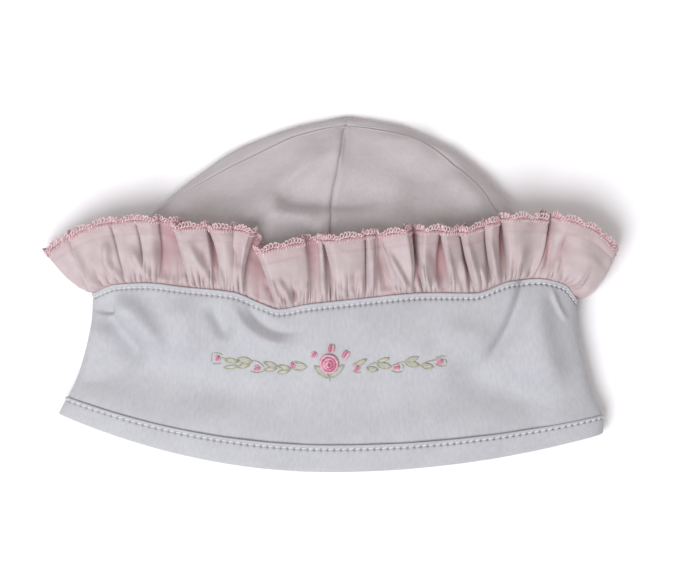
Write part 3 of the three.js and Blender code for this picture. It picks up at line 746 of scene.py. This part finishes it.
def front_edge():
    """The ruffle's front free edge as free x, height, base x and bow, from left to right."""
    points, before = [], None
    for left, right, base, base_right, height, peak, left_tuck, right_tuck, bow in zip(*PLATES.values()):
        width, base_width = right - left, base_right - base
        turn = min(1.3, width / 5)
        if before:
            last_right, last_base, last_height, last_tuck, last_bow = before
            low = -1.0 - 0.65 * max(min(height, last_height), 0)
            valley = left - 0.3 + left_tuck - last_tuck
            if base - last_base > 1.5:
                points.append((last_right + 0.7 - last_tuck, 0.85 * low, last_base + 0.5, last_bow))
                points.append((valley, 1.1 * low, base - 0.6, bow))
            else:
                points.append((valley, low, base - 0.2, bow))
        before = right, base_right, height, right_tuck, bow
        points += [
            (left, 0.35 * height, base + 0.08 * base_width, bow),
            (left + turn, (0.95 - 0.4 * peak) * height, base + 0.2 * base_width, bow),
            (left + peak * width, height, base + (0.2 + 0.6 * peak) * base_width, bow),
            (right - turn, (0.35 + 0.6 * peak) * height, base + 0.8 * base_width, bow),
            (right, 0.1 * height, base + 0.93 * base_width, bow),
        ]
    return smooth_curve(np.array(points), FRONT_COLUMNS)


def ruffle_columns():
    """Where each column of the ruffle starts round the cuff, how far its free edge is shifted and how
    far it stands out, all the way round from the left end of the front."""
    edge = front_edge()
    left, _, right, *_ = outline(CUFF_TOP)
    middle, half = (left + right) / 2, (right - left) / 2
    front_angle = np.arccos(np.clip((edge[:, 2] - middle) / half, -1, 1))
    turn = math.asin(FLAT_FROM)

    def fan(angle):
        across = np.cos(angle)
        return np.where(across < 0, edge[0, 0] - edge[0, 2], edge[-1, 0] - edge[-1, 2]) * across**4

    right_turn = -np.linspace(0, turn, TURN_COLUMNS + 1)[1:]
    back = np.linspace(-turn, turn - np.pi, BACK_COLUMNS + 1)[1:]
    left_turn = np.linspace(turn - np.pi, -np.pi, TURN_COLUMNS + 1)[1:-1]
    behind = np.concatenate([right_turn, back, left_turn])
    fold = np.zeros_like(behind)
    phase = np.arange(1, BACK_COLUMNS + 1) / BACK_COLUMNS * BACK_FOLDS
    fold[TURN_COLUMNS:TURN_COLUMNS + BACK_COLUMNS] = (1 - np.cos(2 * np.pi * phase)) / 2
    return {
        "angle": np.concatenate([front_angle, behind]),
        "shift": np.concatenate([edge[:, 0] - edge[:, 2], fan(behind)]),
        "stand": np.concatenate([edge[:, 1], -BACK_FOLD_DEPTH * fold]),
        "bow": np.concatenate([edge[:, 3], np.zeros_like(behind)]),
    }


RUFFLE = ruffle_columns()
FOLD_STRENGTH = 2.8  # judged
GATHER = 1.7  # the mean width of a gather at the seam
HEM_LINE = RUFFLE_HEIGHT - RUFFLE_HEM


def gathers(position, reach, seed):
    """The small rounded gathers at the seam, parted by sharp creases that fade up the ruffle."""
    rng = np.random.default_rng(seed)
    edges = np.cumsum(np.concatenate([[-100], rng.uniform(0.35, 1.65, 130) * GATHER]))
    which = np.clip(np.searchsorted(edges, position) - 1, 0, len(edges) - 2)
    phase = (position - edges[which]) / (edges[which + 1] - edges[which])
    lobe = 1 - np.abs(2 * np.clip(phase, 0, 1) - 1) ** 2.2
    tall = rng.uniform(1.5, 7.0, len(edges))[which]
    big = rng.uniform(1.1, 3.2, len(edges))[which]
    return big * (lobe - 0.6) * smooth(reach, 0, 1.2) * hump(reach, tall)


def fold_creases():
    """The ruffle's folds as creases in millimetres."""
    x0, y0 = from_pixel(RUFFLE_FOLDS["x0"], RUFFLE_FOLDS["y0"])
    x1, y1 = from_pixel(RUFFLE_FOLDS["x1"], RUFFLE_FOLDS["y1"])
    wide = RUFFLE_FOLDS["wide"]
    return {"x0": x0, "y0": y0, "x1": x1, "y1": y1, "bend": np.zeros_like(x0), "left": wide,
            "right": wide, "rise": RUFFLE_FOLDS["rise"]}


RUFFLE_CREASES = fold_creases()


def ruffle_point(column, reach):
    """A point of the ruffle's middle, column along it and reach up from its seam, and how deep in a
    fold or recess it lies, from 0 to 1, which the cloth shows as painted shade."""
    angle = between(np.unwrap(RUFFLE["angle"]), column)
    shift, stand, bow = (between(RUFFLE[part], column) for part in ("shift", "stand", "bow"))
    seam = jersey_point(CUFF_CREASES, angle, CUFF_TOP, CUFF_WALL / 2)
    steep = np.clip(shift / RUFFLE_HEIGHT, -0.8, 0.8)
    ahead = np.sqrt(1 - steep**2)
    rise = np.radians(RUFFLE_RISE) * np.maximum(np.sin(angle), 0)
    along = np.stack([np.zeros_like(ahead), ahead * np.cos(rise), ahead * np.sin(rise)], axis=-1)
    small = 0.01
    round_it = hat_point(angle + small, CUFF_TOP, 1) - hat_point(angle - small, CUFF_TOP, 1)
    round_it[..., 1] = 0
    out = unit(np.cross(np.stack([steep, along[..., 1], along[..., 2]], axis=-1), round_it))
    up = np.maximum(reach / RUFFLE_HEIGHT, 0)
    opened = np.sin(np.minimum(up, 1) * np.pi / 2) ** 0.85
    spread = np.where(shift > 0, RUFFLE_SPREAD_RIGHT, RUFFLE_SPREAD_LEFT)
    spread = 1 + (spread - 1) * smooth(np.abs(shift), 3, 9)
    sideways = shift * up**spread + 4 * bow * up * (1 - up)
    on_front = front_share(angle)
    position = seam[..., 0] + 0.35 * sideways
    lift = stand * opened
    puckers = gathers(position, reach, 11)
    lift = lift + on_front * (puckers - SEAM_GROOVE * hump(reach, 1.0))
    lift = lift + on_front * RUFFLE_PUFF * smooth(reach, -0.4, 1.4) * (1 - smooth(reach, 6, 17))
    lift = lift + RUFFLE_UNEVEN * on_front * uneven(position, 2.5 * reach, 9, 8) * smooth(up, 0.1, 0.5)
    thick = HEM_FOLD * smooth(reach, HEM_LINE - 0.1, HEM_LINE + 0.2)
    crease = HEM_CREASE * hump(reach - HEM_LINE, 0.3)
    lift = lift + on_front * (thick - crease)
    base = seam + along * (reach + RUFFLE_GAP * (1 + np.abs(steep)))[..., None]
    folds = relief(RUFFLE_CREASES, base[..., 0] + sideways, base[..., 1])
    fade = smooth(reach, 0.5, 3) * (1 - 0.7 * smooth(up, 0.75, 1))
    lift = lift + FOLD_STRENGTH * on_front * folds * fade
    flat = np.zeros_like(up)
    point = base + out * lift[..., None] + np.stack([sideways, flat, flat], axis=-1)
    point[..., 2] = np.maximum(point[..., 2], LOWEST)
    # How deep in a recess between plates and in a crease: the share of painted shade.
    recess = 0.7 * smooth(-stand * opened, 0.3, 3.5)
    creased = 0.5 * np.maximum(-puckers, 0) + 0.35 * np.maximum(-folds, 0)
    return point, on_front * np.clip(recess + creased, 0, 1)


def ruffle_mesh():
    """The ruffle's cloth, pinker over its hem, darker along the hem's edge, with painted shade in its folds
    and recesses and painted shadow along its seam.
    """
    many = len(RUFFLE["angle"])
    reaches = np.concatenate([
        [-0.5, 0, 0.4, 0.8, 1.3, 1.9, 2.6, 3.4], np.linspace(4.3, HEM_LINE - 0.9, 13),
        [HEM_LINE - 0.35, HEM_LINE, HEM_LINE + 0.35], np.linspace(HEM_LINE + 1, RUFFLE_HEIGHT, 7),
    ])
    rows = len(reaches) - 1

    def place(u, v):
        column = u * many
        wrapped = np.where(column > many - 0.5, 0, column)
        return ruffle_point(wrapped, between(reaches, v * rows))[0]

    def painted_shade_and_hem_pink(u, v):
        reach = between(reaches, v * rows)
        creased = ruffle_point(u * many, reach)[1]
        # Over the hem the cloth is a deeper pink, and it is darker along the hem's edge.
        hem_tint = 0.1 * smooth(reach, HEM_LINE - 0.1, HEM_LINE + 0.3) + 0.2 * hump(reach - HEM_LINE, 0.35)
        # Painted shade in the folds and recesses, and painted shadow along the seam under the cuff's edge.
        return np.clip(hem_tint + (creased + 0.3 * hump(reach, 0.9)), 0, 1)

    return make_mesh("ruffle_cloth", many, rows, place, (450, 21), painted_shade_and_hem_pink)


ruffle = add_piece("ruffle_cloth", ruffle_mesh(), "pink_batiste", "ruffle", material=batiste)
thicken(ruffle, RUFFLE_CLOTH, 0)


# The lace

SCALLOP = 7.3
LOOPS_IN_SCALLOP = 7
LACE_THREAD = 0.25
OVERCAST = 0.95  # from one overcasting stitch to the next


def lace_frame():
    """The ruffle's free edge as a function of how far along it, how high above it and how proud of
    its face, and its length."""
    many = len(RUFFLE["angle"])
    column = np.arange(many + 1) % many
    edge, _ = ruffle_point(column, np.full(many + 1, RUFFLE_HEIGHT))
    below, _ = ruffle_point(column, np.full(many + 1, RUFFLE_HEIGHT - 1.0))
    along = distances(edge)
    up = unit(edge - below)
    out = unit(np.cross(np.gradient(edge, axis=0), up))

    def at(distance, height, proud):
        place, way_up, way_out = (along_path(part, along, distance % along[-1]) for part in (edge, up, out))
        return place + unit(way_up) * height[..., None] + unit(way_out) * proud[..., None]

    return at, along[-1]


def lace_mesh():
    """Scallops of crochet: an arch of thread on the edge and a fan of small loops standing on it."""
    at, length = lace_frame()
    scallops = round(length / SCALLOP)
    pitch = length / scallops
    rng = np.random.default_rng(21)
    loops, arches = [], []
    turn = np.linspace(0, 2 * np.pi, 12, endpoint=False)
    for k in range(scallops):
        t = np.linspace(0.02, 0.98, 13)
        arches.append(at((k + t) * pitch, 0.1 + 0.8 * np.sin(np.pi * t) ** 0.7, np.zeros_like(t)))
        for j in range(LOOPS_IN_SCALLOP):
            t = (j + 0.5 + rng.uniform(-0.12, 0.12)) / LOOPS_IN_SCALLOP
            foot = 0.65 * math.sin(np.pi * t) ** 0.8
            tall = 0.45 + 0.42 * math.sin(np.pi * t) + rng.uniform(-0.06, 0.06)
            lean = 0.5 * (t - 0.5) + rng.uniform(-0.15, 0.15) + 0.25
            height = foot + tall * (1 - np.cos(turn))
            along = (k + t) * pitch + 0.45 * np.sin(turn) + lean * (height - foot)
            loops.append(at(along, height, 0.22 * np.sin(turn) + 0.1))
    fine = np.linspace(0, length, int(length / 0.5))
    edge = [at(fine, np.full_like(fine, 0.05), 0.1 + 0.12 * np.sin(fine * 2 * np.pi / 1.1))]
    over = []
    for k in range(int(length / OVERCAST)):
        t = np.linspace(-1, 1, 5)
        along = k * OVERCAST + 0.3 * t + rng.uniform(-0.15, 0.15)
        over.append(at(along, -0.45 + 0.65 * t, 0.42 - 0.3 * t * t))
    # The arches and the edge rope are in the darker copy of the thread: painted shade under the loops.
    return join_meshes("lace_edging", [
        make_threads("lace_loops", loops, LACE_THREAD, lace_pale, closed=True),
        make_threads("lace_arches", arches, 0.26, lace_painted_shade),
        make_threads("lace_edge", edge, 0.2, lace_painted_shade),
        make_threads("lace_overcasting", over, 0.17, lace_pale, taper=0.4),
    ])


lace = add_piece("lace_edging", lace_mesh(), "pink_lace", "ruffle_lace")


# The embroidery

CUFF_TREE = BVHTree.FromObject(cuff, bpy.context.evaluated_depsgraph_get())
FLOSS = 0.16  # the radius of a strand, and the next four are radii too
BULLION = 0.42
LEAF_EDGE = 0.24
LEAF_FILL = 0.2
STEM = 0.17
WRAP_PITCH = 1.9  # from one wrap of a bullion stitch to the next, in radii of the strand


def on_cuff(points, height):
    """Points in the plane of the picture laid on the cuff, that high above it."""
    placed = []
    for x, y in points:
        place, normal, _, _ = CUFF_TREE.ray_cast(Vector((x * MM, y * MM, 0.1)), Vector((0, 0, -1)))
        placed.append(np.array(place) / MM + np.array(normal) * height)
    return np.array(placed)


def bullion(path, height, thick):
    """A bullion stitch: thread wound closely round a path, as one long helix."""
    path = on_cuff(path, height)
    along = distances(path)
    wraps = max(3, round(along[-1] / (FLOSS * WRAP_PITCH)))
    core = along_path(path, along, np.linspace(0, along[-1], wraps * 8))
    ahead = unit(np.gradient(core, axis=0))
    side = unit(np.cross(ahead, [0, 0, 1]))
    over = np.cross(side, ahead)
    turn = np.linspace(0, wraps * 2 * np.pi, len(core))
    fat = thick * np.sin(np.linspace(0.12, np.pi - 0.12, len(core))) ** 0.35
    return core + (side * np.cos(turn)[:, None] + over * np.sin(turn)[:, None]) * fat[:, None]


def arc(centre, radius, start, end, many=24):
    """Points along an arc, from and to so many degrees."""
    turn = np.radians(np.linspace(start, end, many))
    return [(centre[0] + radius * math.cos(t), centre[1] + radius * math.sin(t)) for t in turn]


def line(x, y, long, turn, bow=0.0, aside=0.0, many=9):
    """A short bowed stitch as points, about a middle that lies aside of x and y."""
    t = np.linspace(-0.5, 0.5, many)
    c, s = math.cos(math.radians(turn)), math.sin(math.radians(turn))
    x, y = x - aside * s, y + aside * c
    bulge = bow * (1 - 4 * t * t)
    return list(zip(x + t * long * c - bulge * s, y + t * long * s + bulge * c))


ROSE_CENTRE = from_pixel(329, 363)
# The rose's bullion stitches: radius, where each starts and ends in degrees, how high it lies, and
# which of its three pinks it is sewn in. The deep ones lie lower and show between the pale ones.
ROSE_STITCHES = [
    (2.6, 150, 275, 0.6, "pale"), (2.75, 255, 385, 0.6, "pale"), (2.6, 5, 120, 0.6, "pale"),
    (2.75, 95, 180, 0.65, "pale"),
    (2.15, 20, 200, 0.62, "deep"), (2.2, 190, 375, 0.62, "deep"),
    (1.65, 130, 250, 0.95, "pale"), (1.75, 235, 320, 0.95, "mid"), (1.75, 300, 440, 0.95, "mid"),
    (1.65, 75, 150, 1, "pale"),
    (1.25, 60, 240, 0.95, "deep"), (1.25, 235, 420, 0.95, "deep"),
    (0.85, 100, 285, 1.2, "pale"), (0.85, 270, 460, 1.2, "mid"),
]
# Buds: node, x, y, length, turn, and how many bullion stitches lie side by side.
BUDS = [
    ("bud_above_rose", 0.5, -17.9, 2.5, 80, 2),
    ("bud_left_of_rose", -5.2, -19.9, 1.7, 50, 1),
    ("bud_right_of_rose", 5.2, -19.9, 2.5, 58, 2),
    ("vine_bud_1", -36.9, -21, 1.5, 60, 1),
    ("vine_bud_2", -24, -24.4, 1.9, 20, 1),
    ("vine_bud_3", -12.3, -23.4, 1.5, 70, 1),
    ("vine_bud_4", 8.8, -24.2, 1.9, 60, 1),
    ("vine_bud_5", 21.9, -24, 1.9, 10, 1),
    ("vine_bud_6", 36.1, -22.2, 2, 40, 1),
]
# Leaves as picture coordinates: base x and y, tip x and y, and width in millimetres.
LEAVES = [
    (238.5, 361.5, 224.5, 359, 1.3), (238.5, 366, 224, 367.4, 1),
    (252.5, 361.5, 238, 358.6, 1.9), (250, 364.4, 237.8, 366.6, 1.3),
    (278.5, 366.6, 264, 361.8, 1.4), (276.5, 368.4, 264, 369.6, 1.1),
    (291, 368.8, 278.5, 365.2, 1.2), (289.5, 370.6, 277.5, 372.4, 1.1),
    (307, 366.6, 291, 365.6, 2.6),
    (353.5, 366, 366.5, 358.8, 1.3), (366.8, 368, 377.8, 369.6, 1.5),
    (377, 361.6, 389, 357.6, 1), (376.6, 364, 391, 366.4, 1.9),
    (404.6, 361.4, 418, 356.8, 1.4), (405, 362.6, 419, 365, 1.7),
    (420.6, 365, 433, 366.6, 1.7),
    (314.5, 365.5, 329, 377.4, 1.9), (344, 364.6, 329.4, 377.4, 1.9),
]
# Sepals and stems: curved stitches from one picture point to another, bowed by so many millimetres.
STEMS = [
    (213, 352.5, 211.8, 361.5, -0.15), (213, 363, 221.5, 362.6, -0.25),
    (214.5, 352.5, 223, 354.5, 0.2), (222.5, 357, 230, 361, 0),
    (252, 360, 264.5, 366.8, 0.6), (250.5, 370.6, 263.5, 371, -0.5),
    (291, 361.8, 300.5, 362, 0.3), (352, 364.4, 358, 362.8, 0.3),
    (352.6, 370, 361, 371.6, -0.4), (366, 367.4, 377, 362, 0.4),
    (390.6, 365.8, 405, 361, 0.2), (391, 369.8, 402.8, 370.4, -0.6),
    (401.5, 363.4, 403, 369, 0.3), (419, 365.4, 435.5, 359.6, 0.4),
    (434.5, 358.4, 445.5, 356, 0.4), (435, 363.6, 446, 364.6, -0.6),
    (444, 358.6, 446.4, 363, 0.2), (329.2, 376, 330.2, 381, 0),
]


def lens(x0, y0, x1, y1, width, many=11):
    """The outline of a leaf between two picture points: out along one side and back on the other."""
    (x0, y0), (x1, y1) = from_pixel(x0, y0), from_pixel(x1, y1)
    length = math.hypot(x1 - x0, y1 - y0)
    ax, ay = (x1 - x0) / length, (y1 - y0) / length
    t = np.concatenate([np.linspace(0, 1, many), np.linspace(1, 0, many)[1:-1]])
    side = np.concatenate([np.ones(many), -np.ones(many - 2)])
    bulge = side * width / 2 * np.sin(np.pi * t) ** 0.7
    return list(zip(x0 + t * length * ax - bulge * ay, y0 + t * length * ay + bulge * ax))


def span(x0, y0, x1, y1):
    """The middle, length and turn of the way from one picture point to another."""
    (x0, y0), (x1, y1) = from_pixel(x0, y0), from_pixel(x1, y1)
    wide, tall = x1 - x0, y1 - y0
    return (x0 + x1) / 2, (y0 + y1) / 2, math.hypot(wide, tall), math.degrees(math.atan2(tall, wide))


def pink_mesh(name, pinks):
    """Threads of several pinks as one mesh."""
    flosses = {"deep": floss_deep, "mid": floss_mid, "pale": floss_pale}
    return join_meshes(name, [make_threads(name, paths, FLOSS, flosses[pink])
                              for pink, paths in pinks.items()])


def rose_mesh():
    """The rose: its rings of bullion stitches, and two upright ones in its middle."""
    pinks = {"deep": [], "mid": [], "pale": []}
    for radius, start, end, height, pink in ROSE_STITCHES:
        pinks[pink].append(bullion(arc(ROSE_CENTRE, radius, start, end), height, BULLION))
    for shift, pink in ((-0.3, "mid"), (0.3, "deep")):
        middle = line(ROSE_CENTRE[0] + shift, ROSE_CENTRE[1], 1.2, 90, 0.1)
        pinks[pink].append(bullion(middle, 1.3, 0.3))
    return pink_mesh("rose_stitches", pinks)


def bud_mesh(name, x, y, long, turn, stitches):
    """A bud: two bullion stitches side by side, or one with a fine pale one along each side."""
    pinks = {"mid": [], "pale": []}
    if stitches == 2:
        for side, pink in ((-1, "pale"), (1, "mid")):
            pinks[pink].append(bullion(line(x, y, long, turn, 0.15 * side, 0.42 * side), 0.45, BULLION))
    else:
        pinks["mid"].append(bullion(line(x, y, long, turn), 0.5, 0.44))
        for side in (-1, 1):
            path = line(x, y, long * 0.9, turn, 0.25 * side, 0.5 * side)
            pinks["pale"].append(bullion(path, 0.2, 0.26))
    return pink_mesh(name, pinks)


def vine_mesh():
    """The leaves, each an outline with three stitches in it, and the sepals and stems."""
    outlines, fills, stems = [], [], []
    for *ends, width in LEAVES:
        outlines.append(on_cuff(lens(*ends, width), 0.15))
        x, y, long, turn = span(*ends)
        for share in (-0.2, 0.0, 0.2):
            path = line(x, y, long * 0.75, turn, share * width * 0.5, share * width)
            fills.append(on_cuff(path, 0.08))
    for *ends, bow in STEMS:
        stems.append(on_cuff(line(*span(*ends), bow), 0.14))
    return join_meshes("vine_stitches", [
        make_threads("leaf_outlines", outlines, LEAF_EDGE, floss_olive, closed=True),
        make_threads("stems", stems, STEM, floss_olive, taper=0.4),
        make_threads("leaf_fills", fills, LEAF_FILL, floss_leaf, taper=0.4),
    ])


sewn_on.append(add_piece("rose_stitches", rose_mesh(), "embroidery_floss", "rose"))
for node, x, y, long, turn, stitches in BUDS:
    bud = bud_mesh(node + "_stitches", x, y, long, turn, stitches)
    sewn_on.append(add_piece(node + "_stitches", bud, "embroidery_floss", node))
sewn_on.append(add_piece("vine_stitches", vine_mesh(), "embroidery_floss"))


# The stage

def make_stage():
    """A plain pale table top under the hat."""
    bm = bmesh.new()
    bmesh.ops.create_grid(bm, x_segments=1, y_segments=1, size=3)
    mesh = bpy.data.meshes.new("floor")
    bm.to_mesh(mesh)
    bm.free()
    material, tree = new_material("white_card", 0.9, 0.0, "#ffffff")
    fill(tree, tree.nodes["Principled BSDF"], {"Base Color": colour("#ffffff")})
    mesh.materials.append(material)
    floor = put_in_scene("floor", mesh)


def add_light(name, place, size, power, painted_shade_and_hem_pink):
    """A large soft light that points at the hat."""
    light = bpy.data.lights.new(name, "AREA")
    light.shape = "DISK"
    light.size = size
    light.energy = power
    light.color = colour(painted_shade_and_hem_pink)[:3]
    lamp = put_in_scene(name, light)
    lamp.location = place
    lamp.rotation_euler = (-Vector(place)).to_track_quat("-Z", "Y").to_euler()


def add_camera():
    """The camera looks straight down, as the photograph does, from 1.6 m."""
    away, picture_plane = 1.6, 0.012
    data = bpy.data.cameras.new("camera")
    data.sensor_width = 36
    width = PICTURE[0] * PIXEL * MM
    data.lens = data.sensor_width * (away - picture_plane) / width
    camera = put_in_scene("camera", data)
    x, y = from_pixel(PICTURE[0] / 2, PICTURE[1] / 2)
    camera.location = (x * MM, y * MM, away)
    bpy.context.scene.camera = camera


make_stage()
add_light("window", (-0.46, -0.62, 1.25), 1.0, 19.5, "#f8f9ff")
add_light("room", (0.3, 0.95, 0.9), 1.2, 2.5, "#ffeee6")
world = bpy.data.worlds.new("room")
world.use_nodes = True
fill(world.node_tree, world.node_tree.nodes["Background"], {"Color": colour("#fbf8fa"), "Strength": 0.42})
bpy.context.scene.world = world
bpy.context.scene.view_settings.view_transform = "Standard"  # plain sRGB, as a photograph's colours
add_camera()
